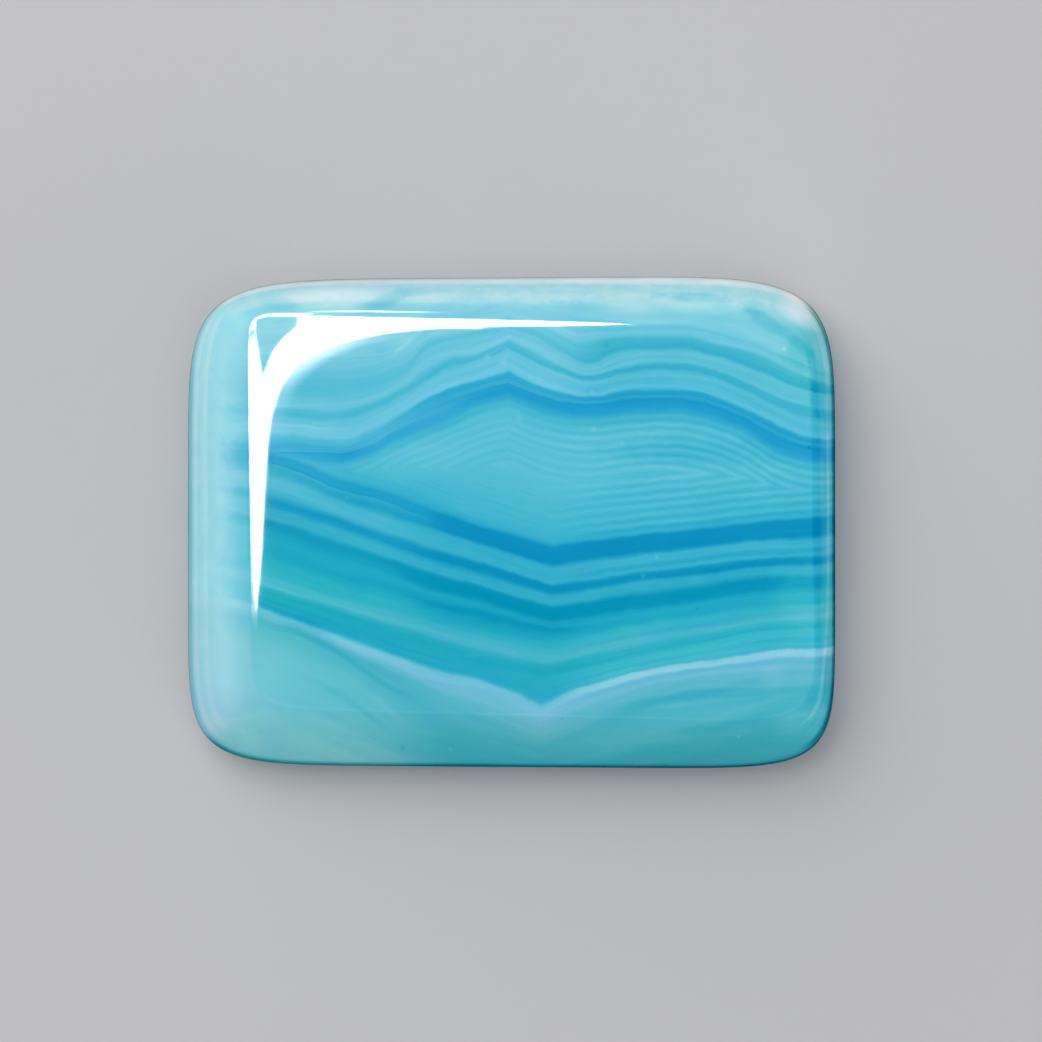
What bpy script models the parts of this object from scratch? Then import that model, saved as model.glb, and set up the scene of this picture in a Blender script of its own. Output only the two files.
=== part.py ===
"""Cushion-cut cabochon of banded blue agate: one polished stone that lies on its flat back.

Units are metres, written as millimetres times MM. X runs along the stone, Y from its front edge to
its back edge and Z up through the crown. The origin is the centre of the flat back.
"""

import math

import bmesh
import bpy

MM = 0.001

# Overall size. The width is taken across the middle: the outline widens a little to the right.
LENGTH = 24.5 * MM
WIDTH = 18.54 * MM
THICKNESS = 4.72 * MM
OUTLINE_TAPER = 0.009

# Each corner of the outline is a quarter of a superellipse. A higher power is a squarer corner, and
# the stone was ground by hand, so no two corners agree.
OUTLINE_POWER = {"back_left": 6.6, "back_right": 6.7, "front_left": 8.0, "front_right": 8.5}

# The table is the gently domed middle of the crown. Each inset is measured from the outline, and
# the leans pull the table out of square towards its back left corner.
TABLE_POWER = {"back_left": 24.0, "back_right": 12.0, "front_left": 14.0, "front_right": 10.0}
TABLE_INSET_LEFT = 2.55 * MM
TABLE_INSET_RIGHT = 1.05 * MM
TABLE_INSET_BACK = 1.70 * MM
TABLE_INSET_FRONT = 2.10 * MM
TABLE_LEAN_X = 0.014
TABLE_LEAN_Y = 0.026
TABLE_HALF_X = (LENGTH - TABLE_INSET_LEFT - TABLE_INSET_RIGHT) / 2
TABLE_HALF_Y = (WIDTH - TABLE_INSET_FRONT - TABLE_INSET_BACK) / 2
TABLE_CENTRE_X = (TABLE_INSET_LEFT - TABLE_INSET_RIGHT) / 2
TABLE_CENTRE_Y = (TABLE_INSET_FRONT - TABLE_INSET_BACK) / 2

# Dome: flat in the middle, with a drop towards each pair of sides that comes late
DOME_DROP_X = 0.42 * MM
DOME_DROP_Y = 0.32 * MM
DOME_POWER_X = 3.9
DOME_POWER_Y = 5.9

# Shoulder, the rounded bevel from the table's edge down to the girdle, where the stone is widest
GIRDLE_HEIGHT = 1.35 * MM
SHOULDER_START_POWER = 1.35
SHOULDER_END_POWER = 2.2

# Underside, which curves in below the girdle to a small edge bevel and the flat back
UNDERSIDE_INSET = 0.48 * MM
UNDERSIDE_POWER = 2.3
BACK_BEVEL = 0.27 * MM

# Facets: cells of the crown's grid, the table's share of its rows, and rings below the girdle
CELLS_X = 52
CELLS_Y = 42
TABLE_ROWS_SHARE = 0.66
UNDERSIDE_RINGS = 5

STONE_COLOUR = (0.065, 0.445, 0.60, 1.0)
STONE_ROUGHNESS = 0.06
STONE_IOR = 1.54


def clear_scene():
    for thing in list(bpy.data.objects):
        bpy.data.objects.remove(thing)


def rounded(u, v, powers):
    """Draws (u, v) in along its ray, so that squares around the middle become superellipses."""
    ring = max(abs(u), abs(v))
    if ring == 0:
        return 0.0, 0.0
    power = powers[("back" if v > 0 else "front") + ("_left" if u < 0 else "_right")]
    share = (abs(u / ring) ** power + abs(v / ring) ** power) ** (-1 / power)
    return u * share, v * share


def outline_point(u, v):
    u, v = rounded(u, v, OUTLINE_POWER)
    return LENGTH / 2 * u, WIDTH / 2 * v * (1 + OUTLINE_TAPER * u)


def table_point(u, v):
    u, v = rounded(u, v, TABLE_POWER)
    x = TABLE_HALF_X * u
    y = TABLE_HALF_Y * v
    return TABLE_CENTRE_X + x - TABLE_LEAN_X * y, TABLE_CENTRE_Y + y - TABLE_LEAN_Y * x


def dome_height(x, y):
    """Height of the domed crown over (x, y), before the shoulder is ground away."""
    x = x - TABLE_CENTRE_X
    y = y - TABLE_CENTRE_Y
    across = abs(x + TABLE_LEAN_X * y) / TABLE_HALF_X
    along = abs(y + TABLE_LEAN_Y * x) / TABLE_HALF_Y
    return THICKNESS - DOME_DROP_X * across**DOME_POWER_X - DOME_DROP_Y * along**DOME_POWER_Y


def shoulder_point(row, inner, outer):
    """Point of the shoulder between the table's edge (row 0) and the girdle (row 1)."""
    turn = row * math.pi / 2
    reach = math.sin(turn) ** (2 / SHOULDER_START_POWER)
    left = max(math.cos(turn), 0) ** (2 / SHOULDER_END_POWER)
    x = inner[0] + (outer[0] - inner[0]) * reach
    y = inner[1] + (outer[1] - inner[1]) * reach
    return x, y, GIRDLE_HEIGHT + (dome_height(x, y) - GIRDLE_HEIGHT) * left


def crown_point(u, v):
    """Maps the grid point (u, v), from -1 to 1 each way, onto the crown."""
    ring = max(abs(u), abs(v))
    if ring <= TABLE_ROWS_SHARE:
        x, y = table_point(u / TABLE_ROWS_SHARE, v / TABLE_ROWS_SHARE)
        return x, y, dome_height(x, y)
    row = min((ring - TABLE_ROWS_SHARE) / (1 - TABLE_ROWS_SHARE), 1)
    return shoulder_point(row, table_point(u / ring, v / ring), outline_point(u / ring, v / ring))


def underside_rings():
    """(inset, height) of each ring from just below the girdle to the edge of the flat back."""
    rings = []
    for ring in range(1, UNDERSIDE_RINGS + 1):
        down = ring / UNDERSIDE_RINGS
        height = GIRDLE_HEIGHT + (BACK_BEVEL - GIRDLE_HEIGHT) * down
        rings.append((UNDERSIDE_INSET * down**UNDERSIDE_POWER, height))
    rings.append((UNDERSIDE_INSET + BACK_BEVEL, 0.0))
    return rings


def extrude_ring(mesh, rim, inset, height):
    """Extrudes the open rim to a copy of the outline drawn in by inset, and returns the new rim."""
    square = mesh.verts.layers.float_vector["square"]
    made = bmesh.ops.extrude_edge_only(mesh, edges=rim)["geom"]
    for vert in made:
        if isinstance(vert, bmesh.types.BMVert):
            x, y = outline_point(vert[square].x, vert[square].y)
            vert.co = x * (1 - 2 * inset / LENGTH), y * (1 - 2 * inset / WIDTH), height
    return [edge for edge in made if isinstance(edge, bmesh.types.BMEdge) and edge.is_boundary]


def stone_mesh():
    """The crown is a grid shaped to the dome. Its rim is drawn down in rings and closed flat."""
    mesh = bmesh.new()
    bmesh.ops.create_grid(mesh, x_segments=CELLS_X, y_segments=CELLS_Y, size=1)
    square = mesh.verts.layers.float_vector.new("square")
    for vert in mesh.verts:
        vert[square] = vert.co
        vert.co = crown_point(vert.co.x, vert.co.y)
    rim = [edge for edge in mesh.edges if edge.is_boundary]
    for inset, height in underside_rings():
        rim = extrude_ring(mesh, rim, inset, height)
    bmesh.ops.edgeloop_fill(mesh, edges=rim)
    bmesh.ops.recalc_face_normals(mesh, faces=mesh.faces)
    return mesh


def stone_material():
    material = bpy.data.materials.new("blue_agate")
    material.use_nodes = True
    surface = material.node_tree.nodes["Principled BSDF"]
    surface.inputs["Base Color"].default_value = STONE_COLOUR
    surface.inputs["Roughness"].default_value = STONE_ROUGHNESS
    surface.inputs["Metallic"].default_value = 0.0
    surface.inputs["IOR"].default_value = STONE_IOR
    return material


def build_stone(collection):
    data = bpy.data.meshes.new("agate_cabochon")
    mesh = stone_mesh()
    mesh.to_mesh(data)
    mesh.free()
    data.shade_smooth()
    data.set_sharp_from_angle(angle=math.radians(30))
    data.materials.append(stone_material())
    collection.objects.link(bpy.data.objects.new("agate_cabochon", data))


def main():
    clear_scene()
    collection = bpy.data.collections.new("agate_cabochon")
    bpy.context.scene.collection.children.link(collection)
    build_stone(collection)


main()
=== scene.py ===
import math

import bpy
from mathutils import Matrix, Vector


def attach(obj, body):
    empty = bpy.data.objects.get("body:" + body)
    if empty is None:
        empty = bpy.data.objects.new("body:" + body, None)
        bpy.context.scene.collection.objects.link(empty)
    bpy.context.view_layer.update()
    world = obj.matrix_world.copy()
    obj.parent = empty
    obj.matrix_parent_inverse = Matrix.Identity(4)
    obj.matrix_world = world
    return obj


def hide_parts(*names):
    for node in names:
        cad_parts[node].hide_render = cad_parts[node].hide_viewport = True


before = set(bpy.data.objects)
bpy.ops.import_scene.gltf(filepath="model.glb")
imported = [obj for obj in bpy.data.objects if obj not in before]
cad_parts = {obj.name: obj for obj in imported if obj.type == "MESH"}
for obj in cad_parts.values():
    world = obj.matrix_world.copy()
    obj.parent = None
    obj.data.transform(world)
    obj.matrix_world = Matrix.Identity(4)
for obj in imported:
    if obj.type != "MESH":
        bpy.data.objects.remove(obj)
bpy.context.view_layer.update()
print("packed stone loaded")

mm = 0.001


# A Term is a number that a node tree works out, so that sums can be written with the usual signs.
class Term:
    def __init__(self, socket):
        self.socket = socket

    def calc(self, operation, *others):
        return calc(self.socket.id_data, operation, self, *others)

    def __add__(self, other):
        return self.calc("ADD", other)

    def __radd__(self, other):
        return self.calc("ADD", other)

    def __sub__(self, other):
        return self.calc("SUBTRACT", other)

    def __rsub__(self, other):
        return calc(self.socket.id_data, "SUBTRACT", other, self)

    def __mul__(self, other):
        return self.calc("MULTIPLY", other)

    def __rmul__(self, other):
        return self.calc("MULTIPLY", other)

    def __truediv__(self, other):
        return self.calc("DIVIDE", other)

    def __rtruediv__(self, other):
        return calc(self.socket.id_data, "DIVIDE", other, self)

    def __pow__(self, other):
        return self.calc("POWER", other)


def feed(tree, value, socket):
    if isinstance(value, Term):
        tree.links.new(value.socket, socket)
    else:
        socket.default_value = value


def calc(tree, operation, *values):
    node = tree.nodes.new("ShaderNodeMath")
    node.operation = operation
    for value, socket in zip(values, node.inputs):
        feed(tree, value, socket)
    return Term(node.outputs[0])


def size(term):
    return term.calc("ABSOLUTE")


def largest(term, *others):
    for other in others:
        term = term.calc("MAXIMUM", other)
    return term


def smallest(term, *others):
    for other in others:
        term = term.calc("MINIMUM", other)
    return term


def unit(term):
    return smallest(largest(term, 0.0), 1.0)


def above(term, limit):
    return term.calc("GREATER_THAN", limit)


def blend(low, high, share):  # low where share is 0, high where it is 1
    return low + (high - low) * share


def mapRange(term, low, high, start, end):
    tree = term.socket.id_data
    node = tree.nodes.new("ShaderNodeMapRange")
    names = ("Value", "From Min", "From Max", "To Min", "To Max")
    for value, name in zip((term, low, high, start, end), names):
        feed(tree, value, node.inputs[name])
    return node


def straight(term, low, high, start, end):  # start at low, end at high, and on along the same line
    slope = (end - start) / (high - low)
    return term.calc("MULTIPLY_ADD", slope, start - low * slope)


def between(term, low, high):  # 0 at low and before it, 1 at high and past it
    return Term(mapRange(term, low, high, 0.0, 1.0).outputs["Result"])


def rise(term, start, end, top=1.0):  # smooth step from 0 at start to top at end, either way round
    if start < end:
        node = mapRange(term, start, end, 0.0, top)
    else:
        node = mapRange(term, end, start, top, 0.0)
    node.interpolation_type = "SMOOTHSTEP"
    return Term(node.outputs["Result"])


def linear(red, green, blue):  # a colour as a paint chart gives it, 0 to 255, turned into light
    steps = [part / 255 for part in (red, green, blue)]
    return tuple(s / 12.92 if s < 0.04045 else ((s + 0.055) / 1.055) ** 2.4 for s in steps) + (1.0,)


# Camera straight above the face, as in the photograph
cameraSet = {
    "lens": 150.0,
    "place": (0.360 * mm, 0.049 * mm, 165.9 * mm),
}


def addCamera():
    data = bpy.data.cameras.new("overheadCamera")
    data.lens = cameraSet["lens"]
    data.sensor_width = 36.0
    data.clip_start = 0.005
    camera = bpy.data.objects.new("overheadCamera", data)
    camera.location = cameraSet["place"]
    bpy.context.scene.collection.objects.link(camera)
    bpy.context.scene.camera = camera


# Studio lamps. Glow is the brightness of the panel itself. The face mirrors the flat boxes 0.4 m above
# it: their straight edges make the fan and the streaks at its top left corner. What a lamp lights is its
# diffuse light, its mirror image ("gloss") or both ("all"). Middles and sizes are in millimetres, and the
# fan's own boxes are measured across and along their common edge.
lampHeight = 400 * mm
fanTurn = math.pi - 0.639
fanLamps = {
    "fanBox": {"middle": (134.3, 92.5), "size": (34, 225), "turn": 0, "glow": 24, "lights": "gloss"},
    "fanFoot": {"middle": (129.8, -56.5), "size": (26.4, 113), "turn": 1.2, "glow": 24, "lights": "gloss"},
    "fanSpread": {"middle": (159.1, 39.7), "size": (26, 174.5), "turn": 19, "glow": 24, "lights": "gloss"},
    "fanJoint": {"middle": (152, 82), "size": (34, 104), "turn": 10, "glow": 24, "lights": "gloss"},
    "fanFringe": {"middle": (119, 16), "size": (42, 190), "turn": 0, "glow": 11, "lights": "gloss",
                  "soft": (0.5, 0.5)},
}
flatLamps = {
    "fanTop": {"middle": (-52, 212), "size": (100, 56), "glow": 24, "lights": "gloss"},
    "creaseBox": {"middle": (-229, 61), "size": (142, 198), "glow": 16, "lights": "gloss", "soft": (0, 0.27)},
    "creaseTop": {"middle": (-225, 132), "size": (142, 223.6), "turn": 6.4, "glow": 16, "lights": "gloss"},
    "cornerBox": {"middle": (-228, 356), "size": (262, 248), "glow": 16, "lights": "gloss"},
}
# Standing panels that face the stone: azimuth from +X towards +Y, elevation, width and height in degrees
panels = {
    "softKey": {"azimuth": 125, "elevation": 58, "width": 50, "height": 50, "away": 600, "glow": 1.58,
                "lights": "diffuse"},
    "frontFill": {"azimuth": 300, "elevation": 48, "width": 50, "height": 50, "away": 600, "glow": 0.68,
                  "lights": "diffuse"},
    "backFill": {"azimuth": 132, "elevation": 10, "width": 70, "height": 26, "away": 600, "glow": 1.7,
                 "lights": "diffuse"},
    "rightFill": {"azimuth": 335, "elevation": 8, "width": 90, "height": 24, "away": 600, "glow": 2.1,
                  "lights": "diffuse"},
    "backStrip": {"azimuth": 94, "elevation": 9, "width": 8, "height": 8, "away": 600, "glow": 16,
                  "lights": "gloss", "soft": (0.3, 0.3)},
    "leftWall": {"azimuth": 180, "elevation": 15, "width": 100, "height": 44, "away": 550, "glow": 0.7,
                 "lights": "gloss", "soft": (0.4, 0.45)},
}


def softenEdges(data, soft):  # the panel dims towards its edges, over these shares of its width and height
    data.use_nodes = True
    tree = data.node_tree
    place = tree.nodes.new("ShaderNodeNewGeometry")
    parts = tree.nodes.new("ShaderNodeSeparateXYZ")
    tree.links.new(place.outputs["Parametric"], parts.inputs[0])
    wide, high = Term(parts.outputs[0]), Term(parts.outputs[1])
    strength = 1.0
    for part, share in zip((wide, high), soft):
        if share:
            strength = strength * rise(smallest(part, 1 - part), 0.0, share)
    feed(tree, strength, tree.nodes["Emission"].inputs["Strength"])


def addPanel(name, place, rotation, wide, high, lamp):
    data = bpy.data.lights.new(name, "AREA")
    data.shape = "RECTANGLE"
    data.size = wide
    data.size_y = high
    data.energy = lamp["glow"] * 4 * wide * high
    if "soft" in lamp:
        softenEdges(data, lamp["soft"])
    panel = bpy.data.objects.new(name, data)
    panel.location = place
    panel.rotation_euler = rotation
    panel.visible_diffuse = lamp["lights"] != "gloss"
    panel.visible_glossy = lamp["lights"] != "diffuse"
    bpy.context.scene.collection.objects.link(panel)


def addLamps():
    across = Vector((math.cos(fanTurn), math.sin(fanTurn), 0))
    along = Vector((across.y, -across.x, 0))
    for name, lamp in fanLamps.items():
        place = (across * lamp["middle"][0] + along * lamp["middle"][1]) * mm
        place.z = lampHeight
        wide, high = (side * mm for side in lamp["size"])
        turn = (0, 0, fanTurn + math.radians(lamp["turn"]))
        addPanel(name, place, turn, wide, high, lamp)
    for name, lamp in flatLamps.items():
        place = (lamp["middle"][0] * mm, lamp["middle"][1] * mm, lampHeight)
        wide, high = (side * mm for side in lamp["size"])
        addPanel(name, place, (0, 0, math.radians(lamp.get("turn", 0))), wide, high, lamp)
    for name, panel in panels.items():
        azimuth = math.radians(panel["azimuth"])
        elevation = math.radians(panel["elevation"])
        flat = math.cos(elevation)
        away = Vector((flat * math.cos(azimuth), flat * math.sin(azimuth), math.sin(elevation)))
        reach = 2 * panel["away"] * mm
        wide = reach * math.tan(math.radians(panel["width"] / 2))
        high = reach * math.tan(math.radians(panel["height"] / 2))
        turn = away.to_track_quat("Z", "Y").to_euler()
        addPanel(name, away * panel["away"] * mm, turn, wide, high, panel)


roomLight = {"seen": (0.55, 0.555, 0.56, 1), "cast": (0.42, 0.42, 0.425, 1)}


def addRoom():  # an even light from all round, which the polished face doesn't mirror
    world = bpy.data.worlds.new("studioRoom")
    world.use_nodes = True
    tree = world.node_tree
    tree.nodes.clear()
    path = tree.nodes.new("ShaderNodeLightPath")
    seen = tree.nodes.new("ShaderNodeBackground")
    seen.inputs["Color"].default_value = roomLight["seen"]
    cast = tree.nodes.new("ShaderNodeBackground")
    cast.inputs["Color"].default_value = roomLight["cast"]
    mix = tree.nodes.new("ShaderNodeMixShader")
    tree.links.new(path.outputs["Is Camera Ray"], mix.inputs[0])
    tree.links.new(cast.outputs[0], mix.inputs[1])
    tree.links.new(seen.outputs[0], mix.inputs[2])
    output = tree.nodes.new("ShaderNodeOutputWorld")
    tree.links.new(mix.outputs[0], output.inputs["Surface"])
    world.cycles_visibility.glossy = False
    bpy.context.scene.world = world
    bpy.context.scene.view_settings.view_transform = "Standard"


floorSet = {"reach": 3.0, "drop": 0.01 * mm, "colour": linear(176, 176, 178), "roughness": 0.8}


def addFloor():
    reach = floorSet["reach"]
    corners = [(x * reach, y * reach, -floorSet["drop"]) for x, y in ((-1, -1), (1, -1), (1, 1), (-1, 1))]
    mesh = bpy.data.meshes.new("paleFloor")
    mesh.from_pydata(corners, [], [(0, 1, 2, 3)])
    material = bpy.data.materials.new("palePaper")
    material.use_nodes = True
    surface = material.node_tree.nodes["Principled BSDF"]
    surface.inputs["Base Color"].default_value = floorSet["colour"]
    surface.inputs["Roughness"].default_value = floorSet["roughness"]
    mesh.materials.append(material)
    floor = bpy.data.objects.new("paleFloor", mesh)
    floor.visible_glossy = False  # in the photograph the polished rim mirrors darkness
    bpy.context.scene.collection.objects.link(floor)


# The stone's shape follows the same rule as the solid: a domed table, a rounded shoulder down to the
# girdle and an underside that curves in to a bevel and the flat back. Lengths are in metres.
stoneSizes = {
    "Length": 24.5 * mm,
    "Width": 18.54 * mm,
    "Thickness": 4.72 * mm,
    "Outline taper": 0.009,
    "Table inset left": 2.55 * mm,
    "Table inset right": 1.05 * mm,
    "Table inset back": 1.70 * mm,
    "Table inset front": 2.10 * mm,
    "Table lean x": 0.014,
    "Table lean y": 0.026,
    "Dome drop x": 0.42 * mm,
    "Dome drop y": 0.32 * mm,
    "Dome power x": 3.9,
    "Dome power y": 5.9,
    "Girdle height": 1.35 * mm,
    "Shoulder start power": 1.35,
    "Shoulder end power": 2.2,
    "Underside inset": 0.48 * mm,
    "Underside power": 2.3,
    "Back bevel": 0.27 * mm,
}
# Corner powers, a higher one is a squarer corner: back left, back right, front left, front right
cornerPowers = {"outline": (6.6, 6.7, 8.0, 8.5), "table": (24.0, 12.0, 14.0, 10.0)}
stoneCells = {"along": 192, "across": 156, "down": 14, "tableShare": 0.66, "undersideShare": 12 / 14}


def cornerPower(toRight, toBack, powers):
    backLeft, backRight, frontLeft, frontRight = powers
    back = toRight * (backRight - backLeft) + backLeft
    front = toRight * (frontRight - frontLeft) + frontLeft
    return blend(front, back, toBack)


def roundedShare(along, across, power):  # how far a square's edge is drawn in to make a superellipse
    return largest(size(along) ** power + size(across) ** power, 1.0) ** (-1 / power)


def buildStoneTree(material):
    tree = bpy.data.node_groups.new("cabochonShape", "GeometryNodeTree")
    sizes = tree.nodes.new("NodeGroupInput")
    identifiers = {}
    for name in stoneSizes:
        socket = tree.interface.new_socket(name, in_out="INPUT", socket_type="NodeSocketFloat")
        identifiers[name] = socket.identifier
    tree.interface.new_socket("Geometry", in_out="OUTPUT", socket_type="NodeSocketGeometry")
    given = {name: Term(sizes.outputs[name]) for name in stoneSizes}

    block = tree.nodes.new("GeometryNodeMeshCube")
    block.inputs["Size"].default_value = (2, 2, 2)
    block.inputs["Vertices X"].default_value = stoneCells["along"] + 1
    block.inputs["Vertices Y"].default_value = stoneCells["across"] + 1
    block.inputs["Vertices Z"].default_value = stoneCells["down"] + 1
    place = tree.nodes.new("GeometryNodeInputPosition")
    parts = tree.nodes.new("ShaderNodeSeparateXYZ")
    tree.links.new(place.outputs[0], parts.inputs[0])
    u, v, w = (Term(socket) for socket in parts.outputs)

    # Every point lies on a square ring around the middle; rings become the table's edge and the outline
    ring = largest(size(u), size(v), 1e-6)
    along, across = u / ring, v / ring
    toRight, toBack = above(u, 0.0), above(v, 0.0)
    share = roundedShare(along, across, cornerPower(toRight, toBack, cornerPowers["outline"]))
    outX = given["Length"] * 0.5 * along * share
    outY = given["Width"] * 0.5 * across * share * (given["Outline taper"] * along * share + 1)
    share = roundedShare(along, across, cornerPower(toRight, toBack, cornerPowers["table"]))
    insetAlong = given["Table inset left"] + given["Table inset right"]
    insetAcross = given["Table inset back"] + given["Table inset front"]
    halfX = (given["Length"] - insetAlong) * 0.5
    halfY = (given["Width"] - insetAcross) * 0.5
    midX = (given["Table inset left"] - given["Table inset right"]) * 0.5
    midY = (given["Table inset front"] - given["Table inset back"]) * 0.5
    tableX = halfX * along * share
    tableY = halfY * across * share
    leanX, leanY = given["Table lean x"], given["Table lean y"]
    edgeX = tableX - leanX * tableY
    edgeY = tableY - leanY * tableX

    # Crown: the table inside, then the shoulder out to the girdle
    out = smallest(ring / stoneCells["tableShare"], 1.0)
    row = unit((ring - stoneCells["tableShare"]) / (1 - stoneCells["tableShare"]))
    turn = row * (math.pi / 2)
    reach = turn.calc("SINE") ** (2 / given["Shoulder start power"])
    left = largest(turn.calc("COSINE"), 0.0) ** (2 / given["Shoulder end power"])
    crownX = midX + edgeX * out + (outX - midX - edgeX) * reach
    crownY = midY + edgeY * out + (outY - midY - edgeY) * reach
    fromX, fromY = crownX - midX, crownY - midY
    domeX = size(fromX + leanX * fromY) / halfX
    domeY = size(fromY + leanY * fromX) / halfY
    dome = given["Thickness"] - given["Dome drop x"] * domeX ** given["Dome power x"]
    dome = dome - given["Dome drop y"] * domeY ** given["Dome power y"]
    girdle = given["Girdle height"]
    crownZ = girdle + (dome - girdle) * left

    # Underside, bevel and flat back
    down = unit((1 - w) * 0.5)
    curve = unit(down / stoneCells["undersideShare"])
    bevel = unit((down - stoneCells["undersideShare"]) / (1 - stoneCells["undersideShare"]))
    inset = given["Underside inset"] * curve ** given["Underside power"] + given["Back bevel"] * bevel
    lowX = outX * ring * (1 - 2 * inset / given["Length"])
    lowY = outY * ring * (1 - 2 * inset / given["Width"])
    lowZ = (girdle + (given["Back bevel"] - girdle) * curve) * (1 - bevel)

    onCrown = above(w, 0.999)
    made = tree.nodes.new("ShaderNodeCombineXYZ")
    for low, high, socket in zip((lowX, lowY, lowZ), (crownX, crownY, crownZ), made.inputs):
        feed(tree, blend(low, high, onCrown), socket)
    moved = tree.nodes.new("GeometryNodeSetPosition")
    smooth = tree.nodes.new("GeometryNodeSetShadeSmooth")
    realize = tree.nodes.new("GeometryNodeRealizeInstances")
    finish = tree.nodes.new("GeometryNodeSetMaterial")
    finish.inputs["Material"].default_value = material
    output = tree.nodes.new("NodeGroupOutput")
    # The grid's own place stays with every point, for the markings of the rim
    kept = tree.nodes.new("GeometryNodeStoreNamedAttribute")
    kept.data_type = "FLOAT_VECTOR"
    kept.domain = "POINT"
    kept.inputs["Name"].default_value = "square"
    tree.links.new(block.outputs["Mesh"], kept.inputs["Geometry"])
    tree.links.new(place.outputs[0], kept.inputs["Value"])
    tree.links.new(kept.outputs["Geometry"], moved.inputs["Geometry"])
    tree.links.new(made.outputs[0], moved.inputs["Position"])
    tree.links.new(moved.outputs[0], smooth.inputs["Geometry"])
    tree.links.new(smooth.outputs[0], realize.inputs["Geometry"])
    tree.links.new(realize.outputs[0], finish.inputs["Geometry"])
    tree.links.new(finish.outputs[0], output.inputs["Geometry"])
    return tree, identifiers


def buildStone(material):
    holder = bpy.data.objects.new("stoneHolder", bpy.data.meshes.new("stoneHolder"))
    bpy.context.scene.collection.objects.link(holder)
    tree, identifiers = buildStoneTree(material)
    modifier = holder.modifiers.new("shape", "NODES")
    modifier.node_group = tree
    for name, value in stoneSizes.items():
        modifier[identifiers[name]] = value
    bpy.context.view_layer.update()
    shaped = holder.evaluated_get(bpy.context.evaluated_depsgraph_get())
    mesh = bpy.data.meshes.new_from_object(shaped)
    mesh.name = "polishedAgate"
    holder.modifiers.remove(modifier)
    bpy.data.objects.remove(holder)
    mesh.set_sharp_from_angle(angle=math.radians(32))
    stone = bpy.data.objects.new("polishedAgate", mesh)
    bpy.context.scene.collection.objects.link(stone)
    print("stone shaped:", len(mesh.polygons), "faces")
    return stone


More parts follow.
